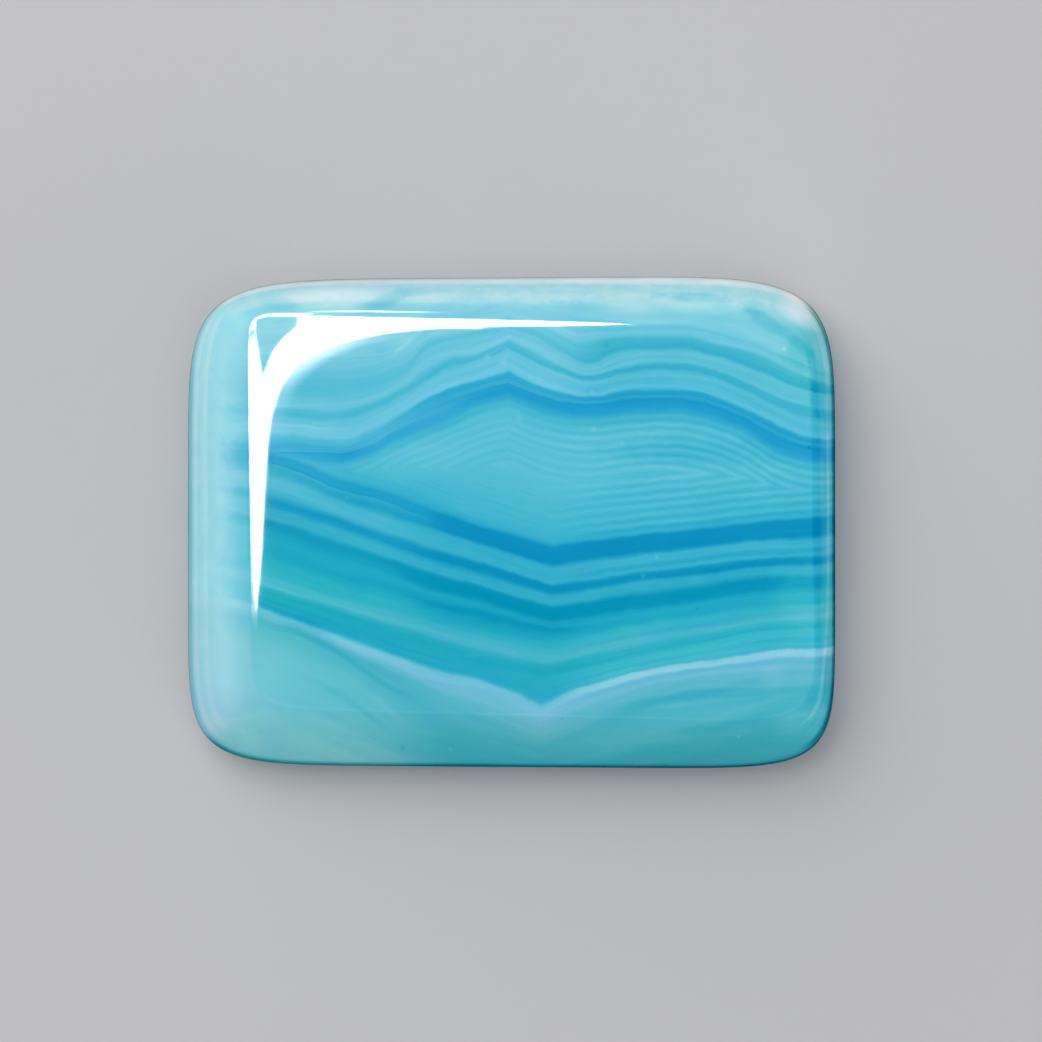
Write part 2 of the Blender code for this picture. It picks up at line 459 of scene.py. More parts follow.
# Band lines of the face, from its back edge to its front, as (x, y) in millimetres. Dark lines and the
# light ones between them take turns down to the eye, and again below it.
bandLines = {
    "roofDark": [(-12.25, 5.69), (-7.86, 6.11), (-4.13, 6.40), (-2.65, 7.34), (-0.12, 8.10), (1.81, 7.75),
                 (3.30, 7.41), (4.79, 7.34), (6.27, 7.34), (7.76, 7.08), (9.25, 6.60), (10.75, 5.97),
                 (12.25, 5.38)],
    "roofLight": [(-12.25, 5.34), (-7.85, 5.66), (-5.62, 5.73), (-4.13, 6.18), (-2.65, 7.11), (-0.12, 7.71),
                  (1.62, 7.22), (2.55, 6.85), (3.30, 6.96), (4.78, 7.00), (6.27, 7.04), (7.76, 6.70),
                  (9.25, 6.33), (10.74, 5.59), (12.25, 5.04)],
    "ridgeDark": [(-12.25, 4.96), (-7.85, 5.10), (-5.62, 5.17), (-4.13, 5.51), (-3.76, 5.80), (-3.21, 6.48),
                  (-2.65, 6.77), (-1.16, 7.04), (-0.12, 7.34), (0.69, 7.11), (1.81, 6.48), (2.92, 5.99),
                  (3.67, 6.33), (4.78, 6.51), (6.27, 6.51), (7.76, 6.22), (9.25, 5.70), (10.74, 5.07),
                  (12.25, 4.70)],
    "ridgeLight": [(-12.25, 4.47), (-7.85, 4.43), (-6.36, 4.43), (-5.25, 4.65), (-4.13, 5.14), (-3.02, 6.03),
                   (-1.16, 6.40), (-0.12, 6.92), (1.07, 6.40), (1.81, 5.95), (2.92, 5.58), (4.04, 5.95),
                   (5.52, 6.14), (7.01, 6.03), (8.50, 5.55), (9.99, 4.92), (11.31, 4.56), (12.25, 4.39)],
    "slopeDark": [(-12.25, 4.09), (-8.60, 4.10), (-6.73, 3.95), (-5.62, 4.17), (-4.13, 4.80), (-3.02, 5.43),
                  (-2.28, 5.92), (-1.16, 6.14), (-0.12, 6.62), (1.07, 5.99), (1.81, 5.66), (2.92, 5.36),
                  (4.04, 5.62), (5.52, 5.81), (7.01, 5.66), (8.50, 5.14), (9.99, 4.44), (11.31, 4.00),
                  (12.25, 3.86)],
    "slopeLight": [(-12.25, 3.56), (-8.60, 3.58), (-6.36, 3.43), (-4.87, 3.87), (-4.13, 4.36), (-2.65, 5.21),
                   (-1.16, 5.69), (-0.12, 6.10), (1.07, 5.51), (1.81, 5.21), (2.92, 4.95), (4.78, 5.28),
                   (7.01, 5.17), (8.50, 4.66), (9.24, 4.29), (10.74, 3.62), (12.25, 3.26)],
    "lidDark": [(-12.25, 3.18), (-7.85, 3.06), (-6.36, 2.91), (-5.25, 3.28), (-4.13, 3.91), (-2.65, 4.76),
                (-1.16, 5.21), (-0.12, 5.47), (1.07, 4.95), (1.81, 4.73), (2.92, 4.61), (4.78, 4.84),
                (6.26, 4.84), (7.75, 4.51), (9.24, 3.88), (10.74, 3.17), (12.25, 2.92)],
    "upperLid": [(-12.25, 2.80), (-10.11, 2.69), (-7.85, 2.61), (-6.36, 2.57), (-5.43, 2.80), (-4.13, 3.50),
                 (-2.65, 4.10), (-1.16, 4.73), (-0.12, 5.02), (1.07, 4.54), (1.81, 4.35), (2.92, 4.24),
                 (4.03, 4.36), (5.52, 4.47), (7.01, 4.32), (8.50, 3.80), (9.99, 2.95), (11.11, 2.65),
                 (12.25, 2.51)],
    "lowerLid": [(-12.25, 2.39), (-10.11, 2.28), (-9.16, 2.21), (-7.85, 1.83), (-6.36, 1.20), (-4.87, 0.83),
                 (-3.39, 0.27), (-1.90, -0.29), (-0.42, -0.73), (0.69, -1.06), (1.51, -1.29), (2.55, -1.14),
                 (4.78, -0.88), (7.01, -0.66), (8.50, -0.47), (9.99, -0.32), (12.25, -0.22)],
    "lidLight": [(-12.25, 1.82), (-10.11, 1.69), (-8.60, 1.39), (-6.36, 0.64), (-4.13, -0.17), (-2.65, -0.66),
                 (-1.16, -1.10), (0.32, -1.62), (1.51, -2.03), (2.55, -1.77), (4.78, -1.40), (7.01, -1.14),
                 (8.50, -0.95), (10.74, -0.81), (12.25, -0.78)],
    "keelDark": [(-12.25, 1.29), (-10.11, 1.17), (-8.97, 0.83), (-6.36, 0.05), (-4.13, -0.73), (-2.65, -1.25),
                 (-1.16, -1.66), (0.32, -2.10), (1.51, -2.47), (2.55, -2.33), (4.78, -1.96), (7.01, -1.73),
                 (9.24, -1.47), (12.25, -1.39)],
    "keelLight": [(-12.25, 0.73), (-10.11, 0.53), (-7.85, 0.01), (-6.36, -0.47), (-4.13, -1.25),
                  (-2.65, -1.77), (-1.16, -2.18), (0.32, -2.62), (1.51, -2.92), (2.55, -2.77), (4.78, -2.36),
                  (7.01, -2.14), (8.50, -1.88), (10.74, -1.77), (12.25, -1.77)],
    "deepDark": [(-12.25, 0.24), (-10.11, 0.01), (-8.60, -0.47), (-6.36, -1.29), (-4.13, -1.88),
                 (-2.65, -2.36), (-1.16, -2.66), (0.32, -3.18), (1.51, -3.48), (2.55, -3.33), (4.03, -3.03),
                 (5.52, -2.88), (7.01, -2.66), (8.50, -2.40), (9.99, -2.26), (12.25, -2.22)],
    "deepThin": [(-12.25, -0.67), (-10.11, -0.96), (-8.60, -1.40), (-6.36, -2.22), (-4.13, -2.74),
                 (-2.65, -3.14), (-1.16, -3.48), (0.32, -3.81), (1.51, -4.07), (2.55, -3.92), (4.03, -3.63),
                 (5.52, -3.40), (7.01, -3.18), (8.50, -2.96), (9.99, -2.85), (12.25, -2.82)],
    "paleTurquoise": [(-12.25, -1.80), (-10.11, -2.07), (-8.60, -2.52), (-6.36, -3.11), (-4.13, -3.77),
                      (-2.65, -4.22), (-1.16, -4.63), (0.32, -4.96), (1.33, -5.15), (2.55, -4.89),
                      (4.78, -4.41), (7.01, -4.07), (8.50, -3.81), (9.99, -3.59), (12.25, -3.54)],
    "lastDark": [(-12.25, -2.25), (-10.11, -2.52), (-8.60, -2.96), (-6.36, -3.70), (-4.13, -4.59),
                 (-2.65, -5.00), (-1.16, -5.34), (0.32, -5.63), (1.25, -5.82), (3.29, -5.30), (4.78, -4.93),
                 (7.01, -4.52), (8.50, -4.19), (9.99, -4.00), (12.25, -3.99)],
    "paleEdge": [(-12.25, -2.74), (-10.11, -2.97), (-8.60, -3.48), (-7.11, -4.00), (-5.62, -4.56),
                 (-4.13, -5.08), (-2.65, -5.56), (-1.16, -5.89), (-0.05, -6.27), (0.69, -6.64), (1.10, -6.83),
                 (1.51, -6.64), (2.18, -6.30), (3.29, -5.97), (4.78, -5.56), (6.26, -5.30), (7.75, -5.11),
                 (9.24, -4.86), (10.74, -4.75), (12.25, -4.78)],
    "paleEnd": [(-12.25, -3.61), (-10.11, -3.71), (-8.60, -4.08), (-7.85, -4.26), (-6.36, -4.97),
                (-4.88, -5.67), (-4.14, -6.04), (-2.65, -6.75), (-1.17, -7.28), (1.11, -8.26), (3.30, -7.35),
                (4.78, -6.75), (5.53, -6.49), (7.01, -6.23), (9.25, -6.20), (12.25, -6.19)],
    "footDark": [(-12.25, -6.35), (-10.13, -6.26), (-8.61, -6.54), (-7.12, -7.06), (-6.02, -7.56),
                 (-4.18, -8.46), (-2.69, -8.87), (1.12, -9.57), (3.33, -8.86), (5.56, -8.21), (7.04, -7.86),
                 (9.26, -7.44), (12.25, -7.32)],
}
# The lines turn sharply near these x, and smoothly elsewhere
sharpTurns = (-0.12, 1.25, 1.33, 1.51, 1.10, 1.11, 1.12)
lineFrame = {"halfX": 12.5, "halfY": 10.5, "above": 1.6, "below": 2.0}

# How pale each layer is, by its number: a whole number is a band line, counted from the first as 0. The
# layers split and join again, so that they differ from the stone's left to its middle and right.
layerTones = {
    "left": [
        (-2.0, 140), (-0.3, 136), (0.0, 121), (0.3, 112), (1.0, 104), (1.4, 96), (1.7, 88), (2.15, 84),
        (2.6, 96), (3.0, 108), (3.35, 109), (3.7, 91), (4.0, 79), (4.15, 76), (4.3, 88), (4.6, 94),
        (5.0, 111), (5.35, 110), (5.65, 96), (5.95, 78), (6.2, 76), (6.5, 62), (7.0, 50), (8.0, 33),
        (8.45, 34), (8.6, 43), (8.75, 62), (8.95, 72), (9.5, 70), (9.7, 57), (9.9, 38), (10.15, 26),
        (10.35, 29), (10.6, 45), (10.85, 58), (11.1, 59), (11.3, 45), (11.45, 26), (11.7, 19),
        (12.0, 24), (12.4, 33), (12.7, 27), (13.1, 36), (13.35, 47), (13.55, 49), (13.9, 75),
        (14.1, 62), (14.35, 38), (14.6, 31), (15.6, 36), (15.8, 54), (15.9, 80), (16.0, 100),
        (16.15, 121), (16.5, 94), (16.9, 67), (17.1, 74), (17.4, 94), (18.0, 97), (18.6, 106), (19.0, 108),
    ],
    "middle": [
        (-2.0, 128), (0.0, 128), (0.5, 132), (0.9, 136), (1.2, 122), (1.6, 106), (2.0, 92), (2.3, 104),
        (2.6, 108), (2.9, 119), (3.2, 109), (3.45, 95), (3.6, 84), (3.9, 76), (4.15, 75), (4.4, 97),
        (5.0, 102), (5.35, 107), (5.68, 101), (5.82, 68), (5.95, 53), (6.2, 50), (6.34, 61), (6.5, 60),
        (6.64, 42),
        (6.85, 35), (7.0, 40), (8.0, 14), (8.3, 13), (8.45, 28), (8.65, 49), (8.9, 54), (9.45, 55), (9.6, 42),
        (9.75, 26), (10.0, 12), (10.2, 14), (10.4, 26), (10.6, 40), (10.85, 48), (11.1, 47),
        (11.25, 40), (11.4, 21), (11.6, 9), (11.8, 6), (12.1, 4), (12.3, 15), (12.5, 26), (12.7, 22),
        (12.95, 12), (13.1, 18), (13.3, 27), (13.5, 41), (13.8, 64), (13.95, 69), (14.2, 52),
        (14.4, 37), (14.6, 32), (15.0, 38), (15.7, 37), (15.83, 48), (15.93, 68), (16.0, 90),
        (16.15, 114), (16.5, 104), (16.8, 91), (17.0, 81), (17.3, 71), (17.6, 63), (18.0, 58), (19.0, 56),
    ],
    "right": [
        (-2.0, 126), (-0.2, 124), (0.05, 108), (0.3, 100), (0.6, 104), (0.9, 112), (1.05, 104),
        (1.2, 86), (1.4, 72), (1.7, 64), (1.95, 58), (2.2, 74), (2.4, 91), (2.65, 97), (3.0, 93),
        (3.35, 93), (3.55, 82), (3.75, 64), (4.0, 58), (4.15, 62), (4.4, 81), (4.6, 84), (4.8, 78),
        (5.1, 83), (5.5, 87), (5.72, 76), (5.86, 50), (6.02, 38), (6.2, 35), (6.34, 46), (6.46, 46),
        (6.6, 35),
        (6.8, 30), (7.0, 34), (8.0, 17), (8.3, 14), (8.5, 25), (8.65, 42), (8.82, 60), (9.05, 60),
        (9.25, 49), (9.4, 42), (9.65, 54), (9.8, 36), (9.95, 20), (10.2, 13), (10.45, 22), (10.65, 42),
        (10.85, 49), (11.1, 48), (11.35, 37), (11.55, 22), (11.75, 10), (12.1, 9), (12.35, 16),
        (12.6, 29), (12.8, 34), (13.1, 31), (13.3, 40), (13.5, 56), (13.75, 59), (13.95, 76),
        (14.2, 65), (14.4, 50), (14.6, 43), (14.85, 45), (15.1, 60), (15.3, 62), (15.5, 54),
        (15.7, 67), (15.83, 66), (15.95, 100), (16.08, 138), (16.2, 112), (16.3, 96), (16.42, 107),
        (16.6, 93), (16.8, 95), (17.0, 78), (17.15, 70), (17.4, 73), (17.8, 73), (18.1, 62), (19.0, 52),
    ],
}
layerFrame = {"first": -2.0, "upperLid": 7, "lowerLid": 8, "last": 19.0}

# The layers dip a little and wander as they go down through the stone, by lengths in millimetres
layerDrift = {"top": 4.4, "dip": 0.06, "sway": 0.09, "tremble": 0.17}

# Inside the eye the tone depends on how far a point is from each lid, in millimetres
eyeFromUpperLid = [(0, 33), (0.15, 36), (0.35, 52), (0.6, 70), (1.0, 84), (1.6, 91), (2.4, 90), (6, 90)]
eyeFromLowerLid = [(0, 14), (0.3, 16), (0.42, 35), (0.6, 56), (0.9, 66), (1.5, 74), (2.5, 86), (3.5, 93),
                   (6, 93)]
eyeSet = {"pitch": 0.325, "strength": 10, "reach": 6.0, "leftPale": 24}

# Blue dye in the stone: colours from the deepest layer to undyed white, by tone
dyeColours = [
    (0, (0, 134, 180)), (16, (15, 145, 190)), (32, (32, 160, 198)), (50, (50, 171, 203)),
    (68, (68, 181, 208)), (88, (88, 190, 215)), (112, (112, 198, 223)), (150, (150, 218, 231)),
    (200, (206, 235, 243)), (255, (250, 253, 255)),
]

# How far the dye turns to turquoise, layer by layer: what is left of its green and of its blue light
layerTints = {
    "green": [
        (-2, 1.0), (5.6, 1.0), (6.4, 0.95), (7.0, 0.93), (8.0, 0.98), (11.0, 1.0), (11.5, 1.06), (12.0, 1.10),
        (13.4, 1.08), (14.0, 0.97), (14.5, 1.09), (15.5, 1.06), (15.9, 0.98), (16.1, 0.94), (16.4, 0.90),
        (17.0, 0.93), (18.0, 0.96), (19.0, 0.95),
    ],
    "blue": [
        (-2, 0.97), (5.0, 1.0), (6.2, 1.03), (7.0, 1.05), (8.0, 1.01), (9.4, 0.97), (10.0, 0.98),
        (11.5, 0.95),
        (12.2, 0.97), (13.3, 0.94), (14.5, 0.92), (15.3, 0.95), (16.1, 0.96), (16.4, 0.91), (17.0, 0.88),
        (18.0, 0.89), (19.0, 0.88),
    ],
}
fineLayers = {"strength": 34, "perLayer": 1.6, "threadStrength": 30, "threadsPerMillimetre": 8.5}
cloudy = {"paleFoot": 78, "blotches": 26, "drift": 6, "milk": 3, "ragged": 0.45}
# The rim, by its place on the grid: 0.66 is the table's edge and 1 the girdle. The left and back rims are
# pale partly from weak dye and partly from painted light: a painted reflection of pale surroundings and
# brighter light on the rims that face the lamps. On the right rim the tone shifts by painted reflection, a
# dark band and then a pale one, and on the front rim by a slight painted lift; both end in painted dark shade
# at the edge.
rimTonesWithPaintedLight = {
    "left": [
        (0.60, 100), (0.66, 118), (0.69, 136), (0.72, 139), (0.75, 141), (0.78, 145), (0.81, 152),
        (0.84, 157), (0.855, 171), (0.87, 164), (0.885, 160), (0.90, 176), (0.92, 162), (0.935, 138),
        (0.95, 142),
        (0.97, 165), (1.0, 165),
    ],
    "back": [
        (0.60, 104), (0.66, 112), (0.70, 119), (0.75, 142), (0.79, 172), (0.82, 176), (0.84, 168),
        (0.87, 168), (0.90, 204), (0.93, 228), (0.95, 238), (1.0, 236),
    ],
    "right": [
        (0.60, 0), (0.655, 0), (0.67, -6), (0.69, -14), (0.745, -15), (0.775, 0), (0.80, 4), (0.815, 2),
        (0.835, 16), (0.865, 16), (0.88, 2), (0.90, -26), (0.93, -30), (1.0, -28),
    ],
    "front": [
        (0.60, 0), (0.65, 0), (0.664, 8), (0.68, 2), (0.76, 8), (0.82, 8), (0.88, 8), (0.91, 8), (0.93, -10),
        (0.95, -36), (1.0, -40),
    ],
}
# Loose strokes of dye, and two painted pale lines of light along the left and right rims, as lines in
# millimetres with a half width and a change of tone. The points of an upright one are (y, x). "fade" is the
# share of its length over which either end fades.
strokes = {
    "footArc": {"points": [(-8.9, -6.40), (-7.84, -6.71), (-7.1, -7.04), (-6.0, -7.5)],
                "half": 0.26, "tone": -17},
    "footArcInner": {"points": [(-7.8, -5.72), (-6.73, -6.22), (-5.99, -6.67), (-5.24, -7.26), (-4.2, -8.15)],
                     "half": 0.26, "tone": -15},
    "footArcOuter": {"points": [(-9.3, -5.35), (-8.2, -5.62), (-7.2, -5.95), (-6.4, -6.5)],
                     "half": 0.2, "tone": -7},
    "footPaleArc": {"points": [(-8.2, -6.95), (-7.2, -7.3), (-6.2, -7.75), (-5.4, -8.3)],
                    "half": 0.3, "tone": 10},
    "footPaleBand": {"points": [(-7.0, -5.3), (-5.8, -5.95), (-4.6, -6.9), (-3.6, -7.9)],
                     "half": 0.34, "tone": 8},
    "underPale": {"points": [(-9.1, -3.75), (-7.9, -4.15), (-6.6, -4.75), (-5.4, -5.55), (-4.3, -6.25),
                             (-2.9, -6.7)], "half": 0.2, "tone": -15},
    "rightFoot": {"points": [(2.6, -7.2), (5.67, -6.56), (7.45, -6.3), (8.86, -5.96), (11.0, -5.75)],
                  "half": 0.26, "tone": -13},
    "rightFootLow": {"points": [(5.6, -7.85), (7.45, -7.75), (8.86, -7.41), (10.1, -7.05)],
                     "half": 0.3, "tone": -12},
    "rightFootPale": {"points": [(4.8, -6.93), (6.5, -6.78), (7.75, -6.6), (9.2, -6.55)],
                      "half": 0.16, "tone": 11},
    "rightFootMilk": {"points": [(6.8, -7.3), (8.4, -7.05), (9.8, -6.6), (11.0, -6.3)],
                      "half": 0.24, "tone": 9},
    "shoulderStreak": {"points": [(-4.5, 6.15), (-4.0, 6.55), (-3.5, 6.95)], "half": 0.17, "tone": 16},
    "ridgeArc": {"points": [(-1.8, 7.66), (-1.0, 8.0), (0.0, 8.2), (0.9, 8.02), (1.6, 7.7)], "half": 0.14,
                 "tone": -22},
    "peakBreak": {"points": [(-1.5, 5.9), (-0.9, 6.18), (-0.3, 6.5), (0.2, 6.5)], "half": 0.09, "tone": 10},
    "lidStreak": {"points": [(6.6, 1.1), (8.0, 1.0), (9.6, 1.05)], "half": 0.05, "tone": 9},
    "upperLidLeft": {"points": [(-6.3, 2.6), (-5.4, 2.85), (-4.13, 3.5), (-2.6, 4.1), (-0.9, 4.8)],
                     "half": 0.42, "tone": 24},
    "lowerLidLeft": {"points": [(-8.6, 2.2), (-7.85, 2.0), (-6.36, 1.4), (-4.87, 1.02), (-3.39, 0.42),
                                (-2.0, -0.15)], "half": 0.6, "tone": 20},
    "paleEdgeThins": {"points": [(-10.6, -3.05), (-9.6, -3.22), (-8.6, -3.55), (-7.4, -3.95), (-6.2, -4.45)],
                      "half": 0.4, "tone": -30},
    "footCorner": {"points": [(-11.05, -7.3), (-10.6, -7.45), (-10.0, -7.4), (-9.4, -7.3)],
                   "half": 0.13, "tone": 17, "fade": 0.15},
    # Painted light: a pale line of light down the right shoulder and round the front right corner
    "rightRimPaintedLight": {"points": [(-7.75, 10.4), (-7.5, 10.9), (-6.85, 11.42), (-5.43, 11.66), (-3.0, 11.82),
                                (0.0, 11.86), (3.6, 11.84)],
                     "half": 0.12, "tone": 26, "fade": 0.05, "upright": True},
    # Painted reflection: a thin pale line on the lower left rim
    "leftRimPaintedReflection": {"points": [(-7.35, -11.0), (-6.85, -11.4), (-6.35, -11.55), (-5.2, -11.58)], "half": 0.13,
                    "tone": 17, "fade": 0.1, "upright": True},
}
# Cloudy patches: middle and half sizes in millimetres, turn in degrees, and change of tone
patches = [
    ((11.05, 8.1), (1.0, 0.8), -30, 44), ((9.5, 7.45), (1.0, 0.30), -35, -24),
    ((10.5, 6.8), (1.1, 0.26), -42, -24), ((10.9, 6.5), (0.9, 0.95), 0, -25),
    ((9.2, 8.0), (0.8, 0.26), -8, -16), ((-6.7, 8.45), (2.3, 0.42), 2, 32),
    ((-8.6, 8.15), (0.9, 0.34), -20, -18), ((-7.2, 7.9), (1.8, 0.24), 3, 22),
    ((-4.6, 8.35), (1.1, 0.3), 22, -26), ((-3.0, 8.35), (1.0, 0.24), 4, 16),
    ((2.6, 8.1), (1.5, 0.22), -6, -14), ((4.4, 7.95), (1.3, 0.24), -3, 17),
    ((6.8, 7.95), (1.2, 0.22), -4, 15), ((6.8, 8.42), (1.5, 0.2), -3, -26),
    ((-9.9, 2.5), (1.0, 0.62), 0, -28), ((-9.9, 1.15), (0.9, 0.18), -6, -18),
    ((-9.9, 0.1), (1.0, 0.24), -6, -15), ((-10.0, 4.3), (0.8, 0.24), 4, -12),
    ((-10.3, -1.5), (1.1, 0.3), 0, -10), ((-9.7, -5.2), (1.5, 2.4), 0, 8),
    ((9.7, -5.8), (0.5, 0.6), 0, 10), ((-9.6, -7.4), (1.3, 0.5), 12, 8),
    ((6.6, 2.6), (3.3, 0.55), -3, -18), ((-3.9, 2.3), (2.3, 0.85), 8, 11),
    ((11.0, -2.7), (1.3, 1.5), 0, 19), ((11.42, 5.0), (0.34, 1.5), 0, -25),
    ((11.95, -1.2), (0.32, 2.4), 0, 20), ((11.9, 3.0), (0.3, 0.5), 0, 18),
    ((10.7, -7.4), (0.9, 0.5), 20, 18), ((-10.5, -8.0), (1.5, 0.6), -25, 15),
    ((-5.0, 6.7), (1.0, 0.5), 20, -15), ((-1.9, 7.15), (1.0, 0.22), 12, 14),
    ((11.95, -6.2), (0.42, 1.6), 4, -26),
]
# Pits and specks on the polished face: place, radius and change of tone
specks = [
    (-0.05, 7.28, 0.09, -18), (-0.90, 6.14, 0.11, 17), (-0.31, 5.99, 0.12, 18), (3.07, 3.46, 0.10, 16),
    (3.52, 6.58, 0.10, -12), (10.16, 6.47, 0.08, 24), (11.09, 5.95, 0.07, -16), (11.09, 2.79, 0.07, -22),
    (5.41, -1.29, 0.08, 24), (4.89, -1.99, 0.09, 18), (-4.06, -8.45, 0.09, -18), (-2.28, -8.53, 0.09, 16),
    (8.49, -8.01, 0.08, 20), (0.29, 3.87, 0.11, 15), (4.10, 2.94, 0.07, 14), (6.9, -3.2, 0.06, -12),
    (-6.1, 0.9, 0.06, 12), (1.9, -7.3, 0.06, -12), (3.0, 4.84, 0.20, -12), (3.0, 4.84, 0.13, 14),
]


def curveNode(tree, value, points, low, high, floorValue, topValue, sharp=()):
    node = tree.nodes.new("ShaderNodeFloatCurve")
    curve = node.mapping.curves[0]
    span, lift = high - low, topValue - floorValue
    while len(curve.points) < len(points):
        curve.points.new(0.5, 0.5)
    for point, (x, y) in zip(curve.points, points):
        point.location = ((x - low) / span, (y - floorValue) / lift)
        point.handle_type = "VECTOR" if x in sharp else "AUTO_CLAMPED"
    node.mapping.update()
    feed(tree, straight(value, low, high, 0.0, 1.0), node.inputs["Value"])
    return straight(Term(node.outputs["Value"]), 0.0, 1.0, floorValue, topValue)


def noiseNode(tree, vector, scale, detail=2.0, roughness=0.5):
    node = tree.nodes.new("ShaderNodeTexNoise")
    node.inputs["Scale"].default_value = scale
    node.inputs["Detail"].default_value = detail
    node.inputs["Roughness"].default_value = roughness
    tree.links.new(vector, node.inputs["Vector"])
    return node


def centred(socket):  # a noise's value, moved to lie around 0
    return straight(Term(socket), 0.0, 1.0, -0.5, 0.5)


def noiseTerm(tree, vector, scale, detail, roughness):
    return centred(noiseNode(tree, vector, scale, detail, roughness).outputs["Fac"])


def separated(tree, vector):
    node = tree.nodes.new("ShaderNodeSeparateXYZ")
    tree.links.new(vector, node.inputs[0])
    return [Term(socket) for socket in node.outputs]


def combined(tree, *parts):
    node = tree.nodes.new("ShaderNodeCombineXYZ")
    for part, socket in zip(parts, node.inputs):
        feed(tree, part, socket)
    return node.outputs[0]


def splitColour(tree, colour):
    node = tree.nodes.new("ShaderNodeSeparateColor")
    tree.links.new(colour, node.inputs[0])
    return [Term(socket) for socket in node.outputs]


def layerPlace(tree, point, x, y, z):  # where the layer of a point comes out on the face
    depth = largest(layerDrift["top"] - z, 0.0)
    wander = noiseNode(tree, point, 0.22, 1.0)
    wanderX, wanderY = splitColour(tree, wander.outputs["Color"])[:2]
    sway = depth * depth * layerDrift["sway"]
    tremble = noiseTerm(tree, point, 1.3, 3.0, 0.6)
    layerX = x + (wanderX - 0.5) * sway
    layerY = y - depth * layerDrift["dip"] + (wanderY - 0.5) * sway
    return layerX, layerY + tremble * layerDrift["tremble"], tremble


def layerNumber(lines, layerY):
    order = list(lines)
    layer = (lines[order[0]] - layerY) / lineFrame["above"]
    layer = smallest(largest(layer, layerFrame["first"]), 0.0)
    for upper, lower in zip(order, order[1:]):
        layer = layer + between(layerY, lines[upper], lines[lower])
    return layer + unit((lines[order[-1]] - layerY) / lineFrame["below"])


def bandTone(tree, layer, layerX):
    first, last = layerFrame["first"], layerFrame["last"]
    upperLid, lowerLid = layerFrame["upperLid"], layerFrame["lowerLid"]
    tones = {}
    for name, points in layerTones.items():  # one curve for the layers above the eye, one for those below
        roofPoints = [point for point in points if point[0] <= upperLid]
        keelPoints = [point for point in points if point[0] >= lowerLid]
        roof = curveNode(tree, layer, roofPoints, first, upperLid, 0, 255)
        keel = curveNode(tree, layer, keelPoints, lowerLid, last, 0, 255)
        tones[name] = blend(roof, keel, above(layer, (upperLid + lowerLid) / 2))
    tone = blend(tones["left"], tones["middle"], rise(layerX, -5.2, -2.0))
    return blend(tone, tones["right"], rise(layerX, 0.9, 4.0))


def eyeParts(tree, fromUpper, fromLower, x):  # the tone between the lids, and the nearer lid's distance
    upperTone = curveNode(tree, fromUpper, eyeFromUpperLid, 0, eyeSet["reach"], 0, 255)
    lowerTone = curveNode(tree, fromLower, eyeFromLowerLid, 0, eyeSet["reach"], 0, 255)
    tone = smallest(upperTone, lowerTone)
    nearest = smallest(fromUpper, fromLower)
    wave = (nearest * (2 * math.pi / eyeSet["pitch"])).calc("COSINE")  # the eye's fine lines
    toRight = rise(x, 0.5, 5.0)
    upperSide = above(fromLower, fromUpper)
    strength = blend(toRight, toRight * 0.5 + 0.5, upperSide) * rise(nearest, 0.25, 0.7)
    return tone - wave * strength * eyeSet["strength"], nearest


# Fine layers inside the bands, and threads finer still: noises that are stretched out along them
def addFineLayers(tree, tone, layer, layerX, z, nearest, inEye):
    along = combined(tree, layer * fineLayers["perLayer"] + 40, layerX * 0.12, z * 0.1)
    fine = noiseTerm(tree, along, 1.0, 3.0, 0.6) * fineLayers["strength"] * (1 - inEye)
    tone = tone + fine * (tone / 90 + 0.15)
    across = blend(layer * 0.5, nearest + 4.1, inEye) * fineLayers["threadsPerMillimetre"]
    along = combined(tree, across, layerX * 0.3, z * 0.3)
    threads = noiseTerm(tree, along, 1.0, 2.0, 0.6) * fineLayers["threadStrength"]
    return tone + threads * (tone / 130 + 0.25)


def addStrokes(tree, tone, x, y, layerX, layerY):
    halfX = lineFrame["halfX"]
    for stroke in strokes.values():
        points = stroke["points"]
        start, end = points[0][0], points[-1][0]
        onward, sideways = (y, x) if "upright" in stroke else (layerX, layerY)
        line = curveNode(tree, onward, points, start, end, -halfX, halfX)
        mark = rise(size(sideways - line), stroke["half"], 0.0, stroke["tone"])
        fade = (end - start) * stroke.get("fade", 0.3)
        tone = tone + mark * rise(onward, start, start + fade) * rise(onward, end, end - fade)
    return tone


def rimMasks(u, v, ring):  # which rim a point is on, each from 0 to 1
    onLeft = rise(0 - u - size(v), -0.04, 0.1)
    lower = rise(ring, 0.88, 1.0)  # the rims blend more slowly round the corners towards the girdle
    pastDiagonal = v - size(u)
    onBack = blend(rise(pastDiagonal, -0.1, 0.04), rise(pastDiagonal, -0.42, 0.12), lower)
    pale = largest(onLeft, onBack)
    pastDiagonal = u - size(v)
    onRight = blend(rise(pastDiagonal, -0.08, 0.08), rise(pastDiagonal, -0.34, 0.3), lower) * (1 - pale)
    return onLeft, onBack, onRight, 1 - largest(pale, onRight)


def ellipseReach(x, y, middle, halves, turn):  # 0 in a patch's middle, 1 on its edge
    cosine, sine = math.cos(math.radians(turn)), math.sin(math.radians(turn))
    (middleX, middleY), (halfX, halfY) = middle, halves
    start = -(middleX * cosine + middleY * sine) / halfX
    onward = straight(x, 0.0, 1.0, start, start + cosine / halfX) + straight(y, 0.0, 1.0, 0.0, sine / halfX)
    start = (middleX * sine - middleY * cosine) / halfY
    sideways = straight(x, 0.0, 1.0, start, start - sine / halfY) + straight(y, 0.0, 1.0, 0.0, cosine / halfY)
    return onward.calc("MULTIPLY_ADD", onward, sideways * sideways).calc("SQRT")


def addPatches(tone, x, y, milk):
    ragged = milk * cloudy["ragged"]
    for middle, halves, turn, change in patches:
        tone = tone + rise(ellipseReach(x, y, middle, halves, turn) + ragged, 1.3, 0.35, change)
    return tone


